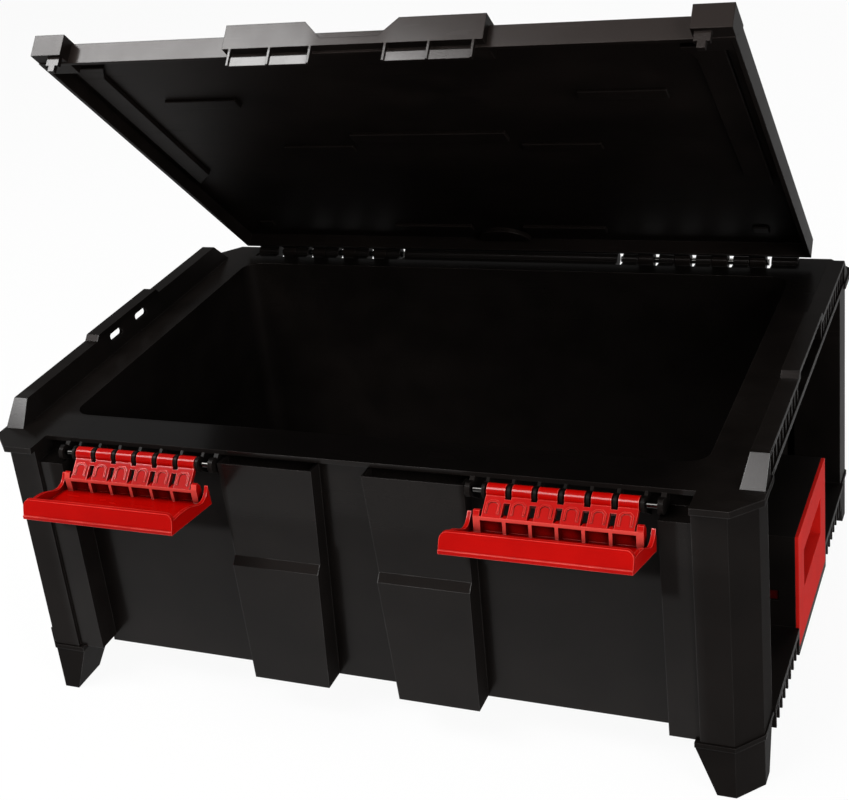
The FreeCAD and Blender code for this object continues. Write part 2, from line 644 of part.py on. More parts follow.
def latch_lip():
    """Front band of the tray with rounded upper corners."""
    thick = LATCH_WALL
    band = prism_x([(LATCH_TOE_Y, LATCH_TOE_Z), (LATCH_LIP_TOP_Y, LATCH_LIP_TOP_Z),
                    (LATCH_LIP_TOP_Y + thick, LATCH_LIP_TOP_Z), (LATCH_TOE_Y + thick, LATCH_TOE_Z)],
                   -LATCH_HALF_WIDTH, LATCH_HALF_WIDTH)
    corners = []
    for edge in band.Edges:
        middle = edge.CenterOfMass
        if abs(middle.x) > LATCH_HALF_WIDTH - 0.1 and abs(middle.z - LATCH_LIP_TOP_Z) < 0.1:
            corners.append(edge)
    return band.makeFillet(LATCH_LIP_CORNER, corners)


def emboss(x):
    """Raised arched border on a latch plate, open at its lower end."""
    def arch(half, start, stop):
        corner = half / 2
        outline = [(-half, stop), (-half, start + corner), (corner - half, start), (half - corner, start),
                   (half, start + corner), (half, stop)]
        points = [Vector(x + across, *along_plate(down, 0.0)) for across, down in outline]
        rise = Vector(x - half, *along_plate(stop, EMBOSS_PROUD)) - points[0]
        return Part.Face(Part.makePolygon(points + points[:1])).extrude(rise)

    start = (plate_length - EMBOSS_LENGTH) / 2
    stop = start + EMBOSS_LENGTH
    outer = arch(EMBOSS_WIDTH / 2, start, stop)
    return outer.cut(arch(EMBOSS_WIDTH / 2 - EMBOSS_BORDER, start + EMBOSS_BORDER, stop))


def latch_end_posts(cell_back):
    """Raised posts that close the row of cells at both ends."""
    outline = [(LATCH_LEDGE_Y, LATCH_LEDGE_Z), (LATCH_END_POST_FRONT, LATCH_END_POST_TOP),
               (cell_back, LATCH_END_POST_TOP), (LATCH_HEEL_Y, LATCH_SPINE_TOP),
               (LATCH_HEEL_Y, LATCH_HEEL_Z), (LATCH_LEDGE_Y, latch_floor_height(LATCH_LEDGE_Y, 0.0))]
    inner = LATCH_CELL_HALF_WIDTH - LATCH_END_POST
    post = prism_x(outline, inner, LATCH_CELL_HALF_WIDTH)
    return [post, flip_x(post)]


def latch(turn):
    """Right latch in one moulding, turned about its pin by turn degrees (up is positive)."""
    solids = []
    plate = [along_plate(-LATCH_PLATE_TAIL, 0.0), along_plate(plate_length, 0.0),
             along_plate(plate_length, -LATCH_PLATE_THICK),
             along_plate(-LATCH_PLATE_TAIL, -LATCH_PLATE_THICK)]
    web_end = LATCH_WEB_START + LATCH_WEB
    web = [along_plate(LATCH_WEB_START, 0.0), along_plate(web_end, 0.0),
           along_plate(web_end, -LATCH_PLATE_THICK), along_plate(LATCH_WEB_START, -LATCH_PLATE_THICK)]
    cell_places = spread(KNUCKLE_COUNT, KNUCKLE_PITCH)
    for place in cell_places:
        solids.append(rod_x(KNUCKLE_RADIUS, place - KNUCKLE_WIDTH / 2, place + KNUCKLE_WIDTH / 2, 0.0, 0.0))
        solids.append(prism_x(plate, place - LATCH_PLATE_WIDTH / 2, place + LATCH_PLATE_WIDTH / 2))
        solids.append(emboss(place))
    solids.append(prism_x(web, cell_places[0], cell_places[-1]))
    cap_back = LATCH_LEDGE_Y + LATCH_CAP_DEPTH
    cap_under = LATCH_LEDGE_Z - LATCH_CAP_THICK
    cap = [(LATCH_LEDGE_Y, LATCH_LEDGE_Z), (cap_back, LATCH_LEDGE_Z), (cap_back, cap_under),
           (LATCH_LEDGE_Y, cap_under)]
    solids.append(prism_x(cap, -LATCH_CELL_HALF_WIDTH, LATCH_CELL_HALF_WIDTH))
    cell_back = LATCH_LEDGE_Y + LATCH_CELL_DEPTH
    spine = [(LATCH_HEEL_Y, LATCH_HEEL_Z), (LATCH_HEEL_Y, LATCH_SPINE_TOP), (cell_back, LATCH_SPINE_TOP),
             (cell_back, latch_floor_height(cell_back, 0.0))]
    solids.append(prism_x(spine, -LATCH_CELL_HALF_WIDTH, LATCH_CELL_HALF_WIDTH))
    floor = [(LATCH_HEEL_Y, LATCH_HEEL_Z), (LATCH_TOE_Y, LATCH_TOE_Z),
             (LATCH_TOE_Y, LATCH_TOE_Z + LATCH_WALL), (LATCH_HEEL_Y, LATCH_HEEL_Z + LATCH_WALL)]
    solids.append(prism_x(floor, -LATCH_HALF_WIDTH, LATCH_HALF_WIDTH))
    rib = [(LATCH_LEDGE_Y, LATCH_LEDGE_Z), (LATCH_LEDGE_Y, latch_floor_height(LATCH_LEDGE_Y, 0.0)),
           (LATCH_HEEL_Y, LATCH_HEEL_Z), (LATCH_HEEL_Y, LATCH_SPINE_TOP), (cell_back, LATCH_LEDGE_Z)]
    for place in spread(KNUCKLE_COUNT + 1, KNUCKLE_PITCH):
        solids.append(prism_x(rib, place - LATCH_RIB_THICK / 2, place + LATCH_RIB_THICK / 2))
    solids += latch_end_posts(cell_back)
    solids.append(latch_lip())
    solids.append(latch_side_wall(-LATCH_HALF_WIDTH, LATCH_WALL - LATCH_HALF_WIDTH))
    solids.append(latch_side_wall(LATCH_HALF_WIDTH - LATCH_WALL, LATCH_HALF_WIDTH))
    body = join(solids)
    bore = rod_x(LATCH_PIN_RADIUS + LATCH_PIN_FIT, -LATCH_HALF_WIDTH, LATCH_HALF_WIDTH, 0.0, 0.0)
    body = body.cut(bore)
    body.rotate(Vector(0, 0, 0), Vector(-1, 0, 0), turn)
    body.translate(Vector(latch_centre_x, latch_pin_y, LATCH_PIN_Z))
    return body


def lid_block(x0, x1, near, far, under, top):
    """Block of the lid in closed position, by distance from the hinge and height over it."""
    return box(x0, x1, hinge_y - far, hinge_y - near, HINGE_Z + under, HINGE_Z + top)


def lid_front_corner():
    """Right front corner block with the lug that drops beside the post."""
    block = lid_block(lid_block_inner, lid_half_width, lid_block_back, lid_block_reach, LID_BLOCK_UNDER,
                      LID_BLOCK_TOP)
    outer = lid_lug_inner + LID_LUG_WIDTH
    lug_reach = tab_start + LID_LUG_THICK
    lug = lid_block(lid_lug_inner, outer, tab_start, lug_reach, LID_LUG_TIP / 2, LID_BLOCK_UNDER)
    taper = LID_LUG_WIDTH / 4
    tip = lid_block(lid_lug_inner + taper, outer - taper, tab_start, lug_reach, LID_LUG_TIP, LID_LUG_TIP / 2)
    return [block, lug, tip]


def lid_hump():
    """Right front hump over a pilaster, with a hooked tab that hangs between fins."""
    front = hinge_y - hump_reach
    section = [(HUMP_INNER, HINGE_Z + HUMP_UNDER), (hump_outer, HINGE_Z + HUMP_UNDER),
               (hump_outer, HINGE_Z + HUMP_TOP), (HUMP_INNER_TOP, HINGE_Z + HUMP_TOP),
               (HUMP_INNER, HINGE_Z + BRIDGE_TOP)]
    hump = prism_y(section, front, hinge_y - hump_back)
    pieces = [hump]
    first = HUMP_INNER + TAB_FIN_INSET
    last = hump_outer - TAB_FIN_INSET - TAB_FIN_WIDTH
    for index in range(TAB_FIN_COUNT):
        x0 = first + index * (last - first) / (TAB_FIN_COUNT - 1)
        pieces.append(lid_block(x0, x0 + TAB_FIN_WIDTH, tab_start, hump_reach, TAB_TIP, HUMP_UNDER))
    pieces.append(lid_block(first, last + TAB_FIN_WIDTH, tab_start, tab_start + TAB_THICK, TAB_TIP,
                            TAB_TIP + TAB_HOOK_HEIGHT))
    return pieces


def lid_hinge_arms():
    """Knuckles on the lid that turn on the right hinge pin."""
    solids = []
    for x0, x1 in hinge_spans(True):
        boss = rod_x(HINGE_BOSS_RADIUS, x0, x1, hinge_y, HINGE_Z)
        arm = lid_block(x0, x1, 0.0, LID_BACK + LID_WALL, LID_UNDER, HINGE_BOSS_RADIUS)
        solids.append(boss.fuse(arm))
    return solids


def lid():
    """The lid: a shallow cover with a ribbed underside, humps, corner blocks and hinge knuckles."""
    shell = lid_block(-lid_half_width, lid_half_width, LID_BACK, lid_length, LID_UNDER, LID_TOP)
    room = lid_block(LID_WALL - lid_half_width, lid_half_width - LID_WALL, LID_BACK + LID_WALL,
                     lid_length - LID_WALL, LID_UNDER, LID_TOP - LID_SINK - LID_PANEL_THICK)
    sink = lid_block(2 * LID_WALL - lid_half_width, lid_half_width - 2 * LID_WALL, LID_BACK + 2 * LID_WALL,
                     lid_length - 2 * LID_WALL, LID_TOP - LID_SINK, LID_TOP)
    one_side = lid_front_corner() + lid_hump() + lid_hinge_arms()
    bridge = lid_block(-HUMP_INNER, HUMP_INNER, hump_back, hump_reach, HUMP_UNDER, BRIDGE_TOP)
    body = join([shell.cut(room).cut(sink), bridge] + one_side + [flip_x(item) for item in one_side])
    bore = hinge_pin_bore()
    body = body.cut(bore).cut(flip_x(bore))
    body.rotate(Vector(0, hinge_y, HINGE_Z), Vector(-1, 0, 0), LID_OPEN)
    return body


def main():
    """Build every piece and write it under its own name."""
    os.makedirs("parts", exist_ok=True)
    foot = corner_foot()
    handle = side_handle()
    pieces = {
        "case_tub": case_tub(),
        "lid": lid(),
        "latch_right": latch(LATCH_RIGHT_RAISE),
        "latch_left": flip_x(latch(-LATCH_LEFT_DROP)),
        "latch_pin_right": latch_pin(),
        "latch_pin_left": flip_x(latch_pin()),
        "hinge_pin_right": hinge_pin(),
        "hinge_pin_left": flip_x(hinge_pin()),
        "handle_right": handle,
        "handle_left": flip_x(handle),
        "foot_front_right": foot,
        "foot_front_left": flip_x(foot),
        "foot_rear_right": flip_y(foot),
        "foot_rear_left": flip_x(flip_y(foot)),
    }
    whole = Part.makeCompound(list(pieces.values())).optimalBoundingBox()
    centre_y = (whole.YMin + whole.YMax) / 2
    print("moved along Y by", round(-centre_y, 4), "size", round(whole.XLength, 2), round(whole.YLength, 2),
          round(whole.ZLength, 2))
    for name, shape in pieces.items():
        shape.translate(Vector(0, -centre_y, 0))
        print(name, len(shape.Solids), shape.isValid(), round(shape.Volume / 1000, 2), "cm3")
        shape.exportStep("parts/" + name + ".step")


main()
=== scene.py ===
import bpy
import bmesh
import math
from mathutils import Matrix, Vector


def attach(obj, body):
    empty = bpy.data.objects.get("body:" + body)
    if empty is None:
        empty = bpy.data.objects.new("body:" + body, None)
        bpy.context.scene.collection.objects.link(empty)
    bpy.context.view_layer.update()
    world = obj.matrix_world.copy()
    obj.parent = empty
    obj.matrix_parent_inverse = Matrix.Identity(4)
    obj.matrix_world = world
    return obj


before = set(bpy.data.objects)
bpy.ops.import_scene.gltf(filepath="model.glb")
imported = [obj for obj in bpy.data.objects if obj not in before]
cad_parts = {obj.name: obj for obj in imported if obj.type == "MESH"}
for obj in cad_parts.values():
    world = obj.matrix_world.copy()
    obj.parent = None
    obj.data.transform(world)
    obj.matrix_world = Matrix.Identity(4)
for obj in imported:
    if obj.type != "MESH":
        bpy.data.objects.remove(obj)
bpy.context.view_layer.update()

# Lengths are in metres; a pair of them is where a mask starts and ends

# Hinge and lid, as the solids have them
ORIGIN_SHIFT = 0.0260533
HINGE_Y = 0.1912 + ORIGIN_SHIFT
HINGE_Z = 0.211
LID_OPEN = math.radians(42.57)
LID_PANEL_UNDER = 0.012
LID_INSIDE = (0.0, -math.sin(LID_OPEN), -math.cos(LID_OPEN))
HINGE_UNDER = HINGE_Y * LID_INSIDE[1] + HINGE_Z * LID_INSIDE[2]

# Ways that a face may look, with the cosines at which its mask starts and is full
UP_FRONT = ((0.0, -0.64, 0.768), 0.58, 0.86)
FRONT = ((0.0, -1.0, 0.0), 0.80, 0.97)
UP = ((0.0, 0.0, 1.0), 0.85, 0.97)
INSIDE = (LID_INSIDE, 0.45, 0.95)

# Where the case changes its finish
HANDLED_HEIGHT = (0.160, 0.175)
CASE_FRONT = (-0.120, -0.110)
CASE_REAR = (0.14, 0.16)
CASE_MIDDLE = (-0.10, 0.10)
POST_EDGE = (0.228, 0.240)
PANEL_RISE = (0.04, 0.20)
BAY_INNER = (0.084, 0.088)
BAY_OUTER = (0.222, 0.226)
BAY_FLOOR = (0.140, 0.150)
# Where the front rim gets painted shade
RIM_FRONT = (-0.125, -0.080)
RIM_ENDS = (0.200, 0.245)

# Where the lid, the latches and the handles change theirs
# Where the lid's lip gets its painted highlight tone and its polish
LID_LIP = (-0.035, -0.030)
LID_TABS = (HINGE_UNDER - 0.0012, HINGE_UNDER - 0.0004)
LID_BRIDGE = (0.020, 0.033)
LATCH_MIDDLE = (-0.01, 0.01)
LEFT_LATCH_BACK = 0.0026
# Where the rib fronts get a painted highlight
RIBS_START = (-0.1777, -0.1773)
RIBS_END = (-0.1758, -0.1754)
PLATES_END = (-0.1645, -0.1625)
# Reach, range and rays of the painted shade deep in the latch cells
CELL_DEPTH = 0.014
CELL_LIGHT = (0.22, 0.72)
CELL_RAYS = 8
# Where the clips behind the grip get painted shade
CLIPS_ACROSS = (0.2685, 0.2691)
CLIPS_END = (-0.0150, -0.0140)

# Polish that those places have, as a share of full polish
EDGE_POLISH = 0.6
SLOPE_POLISH = 0.72
SLOPE_RIGHT_SHARE = 0.32
PANEL_POLISH = 0.20
PANEL_TOP_SHARE = 0.55
BAY_LOSS = 0.9
LIP_POLISH = 0.50
LIP_EDGE_LOSS = 0.6
LIP_HAZE_SHARE = 0.80
BRIDGE_SHARE = 0.35
TABS_GAIN = 0.9
LATCH_POLISH = 0.40
LATCH_HAZE_SHARE = 0.75
HANDLE_EDGE_POLISH = 0.4

# Roughness that those places have on top of the plastic's own
LOW_SLOPE_GRAIN = 0.45
BAY_GRAIN = 0.45
POST_END_GRAIN = 0.35
LID_INSIDE_GRAIN = 0.30
PLATES_GRAIN = 0.28

# Marks in the plastic and the steel: how many to a metre, how they are drawn out, and how deep they are
FLOW_MARKS, FLOW_STRETCH = 7.0, (1.0, 1.0, 2.4)
HAZE_MARKS = 38.0
SCUFF_MARKS, SCUFF_STRETCH = 60.0, (0.35, 1.0, 6.0)
PIT_MARKS, PIT_DEPTH = 1500.0, 0.0002
WIRE_MARKS, WIRE_STRETCH, WIRE_DEPTH = 900.0, (0.02, 1.0, 1.0), 0.0001
WIRE_BUMP, WIRE_GLOSS, WIRE_GLOSS_SPREAD = 0.15, 0.08, 0.08
FLOW_SHARE, HAZE_SHARE = 0.6, 0.4
FLOW_ROUGHNESS, SCUFF_ROUGHNESS = 0.10, 0.05
HAZE_HEIGHT = 0.8
MARKS_SPREAD = (0.30, 0.70)
SCUFF_SPREAD = (0.60, 0.72)
# Spread and least share of the edge mask that lightens edges as a painted highlight and also polishes them
HIGHLIT_EDGE_SPREAD = (0.32, 0.68)
HIGHLIT_EDGE_LEAST = 0.45
WIRE_SPREAD = (0.35, 0.65)
EDGE_RADIUS = 0.0009
EDGE_RAYS = 6
EDGE_TURN = (0.004, 0.22)
COAT_ROUGHNESS = 0.16

# Colours of the plastics: deep and pale in the flow marks, and a paler painted highlight on the edges
BLACK = ((0.0030, 0.0024, 0.0021, 1.0), (0.0056, 0.0045, 0.0040, 1.0), (0.014, 0.012, 0.011, 1.0))
LID_BLACK = ((0.0034, 0.0025, 0.0021, 1.0), (0.0070, 0.0052, 0.0045, 1.0), (0.012, 0.0095, 0.0085, 1.0))
RED = ((0.30, 0.0011, 0.0005, 1.0), (0.37, 0.0018, 0.0009, 1.0), (0.80, 0.100, 0.080, 1.0))
HANDLE_RED = ((0.52, 0.0090, 0.0060, 1.0), (0.62, 0.0130, 0.0090, 1.0), (0.70, 0.030, 0.022, 1.0))

# Other colours, and how strongly three of them tint their places: painted shade on the rim, painted highlight
# on the lip and on the rib fronts
# Painted shade on the case's front rim
RIM_SHADE_TONE = (0.0008, 0.0007, 0.0007, 1.0)
# Painted highlight tone of the lid's lip
LIP_HIGHLIGHT_TONE = (0.0150, 0.0112, 0.0098, 1.0)
# Painted shade deep in the latch cells
CELL_SHADE_TONE = (0.055, 0.0003, 0.0002, 1.0)
# Painted shade on the clips behind the grip
CLIP_SHADE_TONE = (0.030, 0.0006, 0.0006, 1.0)
STEEL_DARK = (0.030, 0.029, 0.028, 1.0)
STEEL_PALE = (0.085, 0.082, 0.078, 1.0)
FLOOR_GREY = (0.80, 0.80, 0.80, 1.0)
RIM_SHADE_TINT = 0.7
LIP_HIGHLIGHT_TINT = 0.9
RIB_HIGHLIGHT_TINT = 0.60
WARM = (1.0, 0.90, 0.87, 1.0)
WHITE = (1.0, 1.0, 1.0, 1.0)

# Relief of the lid's underside
PLATE_ROOT = 0.0002
THUMB_STEPS = 16
THUMB_START = 0.016
THUMB_SIZE = (0.022, 0.020)

# Slots of the side rails
RIM_TOP = 0.212
RAIL_INNER = 0.2571
RAIL_LEAN = 0.203593
RAIL_WALL = 0.003
SLOT_RAISE = 0.0116
SLOT_SPACING = 0.0405
SLOT_FORWARD = 0.004
SLOT_OUTER = (0.0218, 0.0089)
SLOT_INNER = (0.0182, 0.0056)
SLOT_SKIN = 0.00015
SLOT_STEPS = 8

# Studio
FLOOR_REACH = 60.0
FLOOR_WHITE_SHARE = 0.94
WORLD_STRENGTH = 0.14

# Camera fitted to the photograph, whose frame is 849 by 800
IMAGE_WIDTH = 849.0
IMAGE_HEIGHT = 800.0
FOCAL_PIXELS = 1624.711
PRINCIPAL = (250.022, 391.700)
CAMERA_PLACE = (0.432887, -1.032101 + ORIGIN_SHIFT, 0.704207)
CAMERA_RIGHT = (0.8890689, 0.4323854, -0.1503306)
CAMERA_DOWN = (0.0592268, -0.4342838, -0.8988269)
CAMERA_FORWARD = (-0.4539258, 0.7902155, -0.4117170)
SENSOR_WIDTH = 36.0
CLIP_START = 0.05


class Wire:
    """A socket of a material's nodes; maths on it adds Math nodes."""

    def __init__(self, tree, socket):
        self.tree = tree
        self.socket = socket

    def node(self, kind, settings=None, sockets=None, output=0):
        """Add a node: its settings first, then the values or links of its sockets."""
        node = self.tree.nodes.new(kind)
        for key, value in (settings or {}).items():
            setattr(node, key, value)
        for key, value in (sockets or {}).items():
            if isinstance(value, Wire):
                self.tree.links.new(value.socket, node.inputs[key])
            else:
                node.inputs[key].default_value = value
        return Wire(self.tree, node.outputs[output]) if node.outputs else node

    def maths(self, operation, first, second=0.0):
        return self.node("ShaderNodeMath", {"operation": operation}, {0: first, 1: second})

    def __add__(self, other):
        return self.maths("ADD", self, other)

    def __radd__(self, other):
        return self.maths("ADD", other, self)

    def __sub__(self, other):
        return self.maths("SUBTRACT", self, other)

    def __rsub__(self, other):
        return self.maths("SUBTRACT", other, self)

    def __mul__(self, other):
        return self.maths("MULTIPLY", self, other)

    def unsigned(self):
        return self.maths("ABSOLUTE", self)

    def at_most_one(self):
        return self.maths("MINIMUM", self, 1.0)

    def step(self, low, high, to_low=0.0, to_high=1.0):
        """Ease from to_low to to_high as this value goes from low to high."""
        return self.node("ShaderNodeMapRange", {"interpolation_type": "SMOOTHSTEP"},
                         {0: self, 1: low, 2: high, 3: to_low, 4: to_high})

    def before(self, low, high):
        """Mask that is full up to low and gone from high on."""
        return self.step(low, high, 1.0, 0.0)

    def blend(self, first, second):
        """Colour that goes from first to second as this value goes from 0 to 1."""
        return self.node("ShaderNodeMix", {"data_type": "RGBA"}, {0: self, 6: first, 7: second}, 2)

    def dot(self, way):
        return self.node("ShaderNodeVectorMath", {"operation": "DOT_PRODUCT"}, {0: self, 1: way}, 1)

    def axis(self, index):
        return self.node("ShaderNodeSeparateXYZ", None, {0: self}, index)


def start_material(name):
    """A bare material and a wire on its Object coordinates."""
    material = bpy.data.materials.new(name)
    material.use_nodes = True
    tree = material.node_tree
    tree.nodes.clear()
    place = Wire(tree, None).node("ShaderNodeTexCoord", output=3)
    return material, place


def end_material(place, shader):
    place.node("ShaderNodeOutputMaterial", None, {"Surface": shader})


def cloud(place, scale, detail, stretch=None):
    """Soft noise of about 1/scale metres, drawn out by stretch."""
    if stretch:
        place = place.node("ShaderNodeMapping", None, {"Vector": place, "Scale": stretch})
    return place.node("ShaderNodeTexNoise", None, {"Vector": place, "Scale": scale, "Detail": detail})


def flat_normal(place):
    return place.node("ShaderNodeNewGeometry", output=3)


def rounded(place, radius):
    """Normal with edges rounded off, and a mask of those edges."""
    soft = place.node("ShaderNodeBevel", {"samples": EDGE_RAYS}, {"Radius": radius})
    turned = 1.0 - soft.dot(flat_normal(place))
    return soft, turned.step(*EDGE_TURN)


def looking(place, way, start, full):
    """Mask of the faces of a piece that look in a direction, whatever pose the piece is in."""
    to_piece = {"vector_type": "NORMAL", "convert_from": "WORLD", "convert_to": "OBJECT"}
    own = place.node("ShaderNodeVectorTransform", to_piece, {0: flat_normal(place)})
    return own.dot(way).step(start, full)


class Plastic:
    """Injection-moulded plastic: flow marks, fine grain, coarser on the ends, and softly rounded edges with a
    painted highlight.
    Each moulding sets its polish and adapts the colour and roughness before the plastic is shaded."""

    def __init__(self, name, tones, gloss, side_grain, edge_radius=EDGE_RADIUS):
        self.material, self.place = start_material(name)
        deep, pale, self.edge_highlight_colour = tones
        flow = cloud(self.place, FLOW_MARKS, detail=2.0, stretch=FLOW_STRETCH)
        self.haze = cloud(self.place, HAZE_MARKS, detail=4.0)
        scuffs = cloud(self.place, SCUFF_MARKS, detail=2.0, stretch=SCUFF_STRETCH).step(*SCUFF_SPREAD)
        self.soft, self.edge = rounded(self.place, edge_radius)
        # Edge mask: its paler colour is a painted highlight, and it also gives the edges their coat polish
        self.polished_highlit_edge = self.edge * self.haze.step(*HIGHLIT_EDGE_SPREAD, HIGHLIT_EDGE_LEAST, 1.0)
        self.side = flat_normal(self.place).axis(0).unsigned()
        self.slope = self.looks(UP_FRONT)
        self.width, self.depth, self.height = [self.place.axis(index) for index in range(3)]
        self.across = self.width.unsigned()
        self.high = self.height.step(*HANDLED_HEIGHT)
        tone = (flow * FLOW_SHARE + self.haze * HAZE_SHARE).step(*MARKS_SPREAD).blend(deep, pale)
        # Edges blended towards a paler colour: painted highlight
        self.colour = self.polished_highlit_edge.blend(tone, self.edge_highlight_colour)
        self.roughness = gloss + (flow - 0.5) * FLOW_ROUGHNESS + scuffs * SCUFF_ROUGHNESS
        self.roughness = self.roughness + self.side * side_grain
        self.polish = None

    def looks(self, facing):
        return looking(self.place, *facing)

    def dull_low_slopes(self):
        """Leave the mould's grain on slopes below the latches."""
        self.roughness = self.roughness + self.slope * (1.0 - self.high) * LOW_SLOPE_GRAIN

    def shade(self, grain, specular):
        """End the material and hand it over."""
        pits = cloud(self.place, PIT_MARKS, detail=1.0)
        bump = self.place.node("ShaderNodeBump", None, {
            "Strength": grain, "Distance": PIT_DEPTH,
            "Height": pits + self.haze * HAZE_HEIGHT, "Normal": self.soft})
        shader = self.place.node("ShaderNodeBsdfPrincipled", None, {
            "Base Color": self.colour, "Roughness": self.roughness, "Normal": bump,
            "Specular IOR Level": specular, "Specular Tint": WARM,
            "Coat Weight": self.polish.at_most_one(), "Coat Roughness": COAT_ROUGHNESS})
        end_material(self.place, shader)
        return self.material


def case_plastic(name):
    """Polished slopes, panels and edges at the front, dull latch bays and post ends, and painted shade
    darkening the front rim.
    """
    case = Plastic(name, BLACK, gloss=0.25, side_grain=0.32)
    case.dull_low_slopes()
    near = case.depth.before(*CASE_FRONT)
    up = case.looks(UP)
    bay = case.across.step(*BAY_INNER) * case.across.before(*BAY_OUTER)
    bay = bay * case.height.step(*BAY_FLOOR) * near * (1.0 - up)
    # Front rim darkened: painted shade
    rim = up * case.depth.before(*RIM_FRONT) * case.across.before(*RIM_ENDS)
    panel = case.looks(FRONT) * case.across.before(*POST_EDGE)
    panel = panel * case.height.step(*PANEL_RISE, 1.0, PANEL_TOP_SHARE)
    slope = case.slope * case.high * near * case.width.step(*CASE_MIDDLE, 1.0, SLOPE_RIGHT_SHARE)
    edges = case.polished_highlit_edge * case.depth.step(*CASE_REAR, EDGE_POLISH, 0.0)
    case.colour = (rim * RIM_SHADE_TINT).blend(case.colour, RIM_SHADE_TONE)
    case.roughness = case.roughness + bay * BAY_GRAIN + case.side * near * POST_END_GRAIN
    case.polish = (slope * SLOPE_POLISH + panel * PANEL_POLISH + edges) * (1.0 - bay * BAY_LOSS)
    return case.shade(grain=0.10, specular=0.07)


def lid_plastic(name):
    """Polished lip with a paler, warmer painted highlight tone, the polish more so on the latch tabs and less
    on the bridge, and a dull underside.
    """
    lid = Plastic(name, LID_BLACK, gloss=0.25, side_grain=0.32)
    lid.dull_low_slopes()
    lip = lid.slope * lid.depth.before(*LID_LIP)
    tabs = lid.place.dot(LID_INSIDE).step(*LID_TABS)
    # Lip tinted paler and warmer: painted highlight
    lid.colour = (lip * LIP_HIGHLIGHT_TINT).blend(lid.colour, LIP_HIGHLIGHT_TONE)
    lid.roughness = lid.roughness + lid.looks(INSIDE) * LID_INSIDE_GRAIN
    polish = lip * (1.0 - lid.edge * LIP_EDGE_LOSS) * LIP_POLISH
    polish = polish * lid.haze.step(*MARKS_SPREAD, LIP_HAZE_SHARE, 1.0)
    lid.polish = polish * lid.across.step(*LID_BRIDGE, BRIDGE_SHARE, 1.0) * (1.0 + tabs * TABS_GAIN)
    return lid.shade(grain=0.10, specular=0.07)


def foot_plastic(name):
    """Duller black with polished edges."""
    foot = Plastic(name, BLACK, gloss=0.34, side_grain=0.28, edge_radius=0.0010)
    foot.dull_low_slopes()
    foot.polish = foot.polished_highlit_edge * EDGE_POLISH
    return foot.shade(grain=0.14, specular=0.04)


def latch_plastic(name):
    """Glossy red with duller plates, a painted highlight on the rib fronts and painted shade deep in the
    cells.
    """
    latch = Plastic(name, RED, gloss=0.18, side_grain=0.20)
    plates = latch.slope * latch.depth.before(*PLATES_END)
    latch.slope = latch.slope - plates
    latch.dull_low_slopes()
    level = latch.depth - latch.width.step(*LATCH_MIDDLE, LEFT_LATCH_BACK, 0.0)
    # Rib fronts blended towards the paler edge colour: painted highlight
    ribs = latch.looks(FRONT) * level.step(*RIBS_START) * level.before(*RIBS_END)
    rib_highlighted = (ribs * RIB_HIGHLIGHT_TINT).blend(latch.colour, latch.edge_highlight_colour)
    # Occlusion darkens the cells towards a deep red: painted shade
    nearby = {"samples": CELL_RAYS, "only_local": True}
    air = latch.place.node("ShaderNodeAmbientOcclusion", nearby, {"Distance": CELL_DEPTH}, 1)
    latch.colour = air.step(*CELL_LIGHT).blend(CELL_SHADE_TONE, rib_highlighted)
    latch.roughness = latch.roughness + plates * PLATES_GRAIN
    slope = latch.slope * latch.high * LATCH_POLISH * latch.haze.step(*MARKS_SPREAD, LATCH_HAZE_SHARE, 1.0)
    latch.polish = slope + latch.polished_highlit_edge
    return latch.shade(grain=0.04, specular=0.06)


def handle_plastic(name):
    """Satin red, with painted shade darkening the clips behind the grip."""
    handle = Plastic(name, HANDLE_RED, gloss=0.40, side_grain=0.30, edge_radius=0.0008)
    handle.dull_low_slopes()
    # Clips behind the grip darkened: painted shade
    clips = handle.across.before(*CLIPS_ACROSS) * handle.depth.before(*CLIPS_END)
    handle.colour = clips.blend(handle.colour, CLIP_SHADE_TONE)
    handle.polish = handle.polished_highlit_edge * HANDLE_EDGE_POLISH
    return handle.shade(grain=0.16, specular=0.06)


def drawn_steel(name):
    """Drawn wire with fine lines along its length."""
    material, place = start_material(name)
    lines = cloud(place, WIRE_MARKS, detail=2.0, stretch=WIRE_STRETCH)
    tone = lines.step(*WIRE_SPREAD).blend(STEEL_DARK, STEEL_PALE)
    bump = place.node("ShaderNodeBump", None, {
        "Strength": WIRE_BUMP, "Distance": WIRE_DEPTH, "Height": lines})
    shader = place.node("ShaderNodeBsdfPrincipled", None, {
        "Base Color": tone, "Roughness": WIRE_GLOSS + lines * WIRE_GLOSS_SPREAD,
        "Normal": bump, "Metallic": 1.0})
    end_material(place, shader)
    return material


def studio_floor(name):
    """Pale floor that the camera and mirror-like surfaces see as white, with the object's shadow faint."""
    material, place = start_material(name)
    camera_ray, through_ray, mirror_ray = [
        place.node("ShaderNodeLightPath", output=kind)
        for kind in ("Is Camera Ray", "Is Transmission Ray", "Is Glossy Ray")]
    share = (camera_ray + through_ray + mirror_ray).at_most_one() * FLOOR_WHITE_SHARE
    matt = place.node("ShaderNodeBsdfDiffuse", None, {"Color": FLOOR_GREY})
    white = place.node("ShaderNodeEmission", None, {"Color": WHITE, "Strength": 1.0})
    end_material(place, place.node("ShaderNodeMixShader", None, {0: share, 1: matt, 2: white}))
    return material


case_black = case_plastic("case_black")
lid_black = lid_plastic("lid_black")
foot_black = foot_plastic("foot_black")
latch_red = latch_plastic("latch_red")
handle_red = handle_plastic("handle_red")
steel = drawn_steel("drawn_steel")


def dress(node, material):
    """Give a solid of the frame its finish."""
    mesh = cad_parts[node].data
    mesh.materials.clear()
    mesh.materials.append(material)


